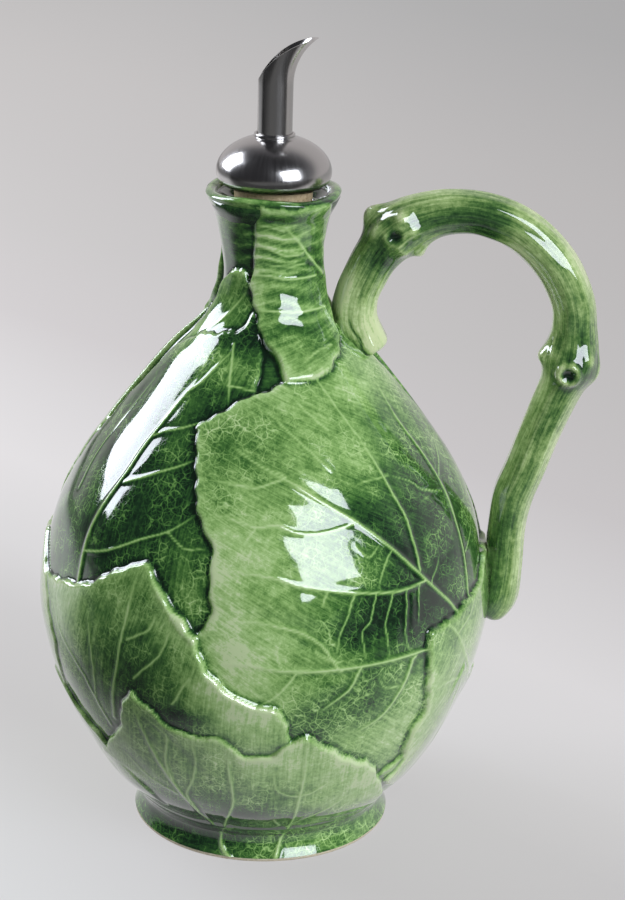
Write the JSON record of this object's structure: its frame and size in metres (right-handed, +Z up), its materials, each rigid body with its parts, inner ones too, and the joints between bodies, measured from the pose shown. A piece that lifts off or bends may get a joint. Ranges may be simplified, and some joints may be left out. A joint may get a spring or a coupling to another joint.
{
  "type": "oil jar",
  "caption": "Round leaf-relief glazed oil jar with a twig loop handle, a narrow neck and a cork stopper carrying a domed steel pouring spout.",
  "frame": {"origin": "centre of the unglazed ring under the foot, on the table", "axes": "+Z up the jar's axis of rotation, +X towards the handle, which the spout points to as well"},
  "size_m": [0.1582, 0.1322, 0.2309],
  "materials": {
    "green_glaze": "gloss",
    "cork": "matte",
    "steel": "satin"
  },
  "bodies": {
    "jar": {"jar": "green_glaze"},
    "stopper": {"cork": "cork", "dome_cap": "steel", "pour_tube": "steel"}
  },
  "joints": [
    {"name": "stopper_pull", "type": "slide", "parent": "jar", "child": "stopper", "axis": [0, 0, 1], "range_m": [0, 0.036]}
  ]
}
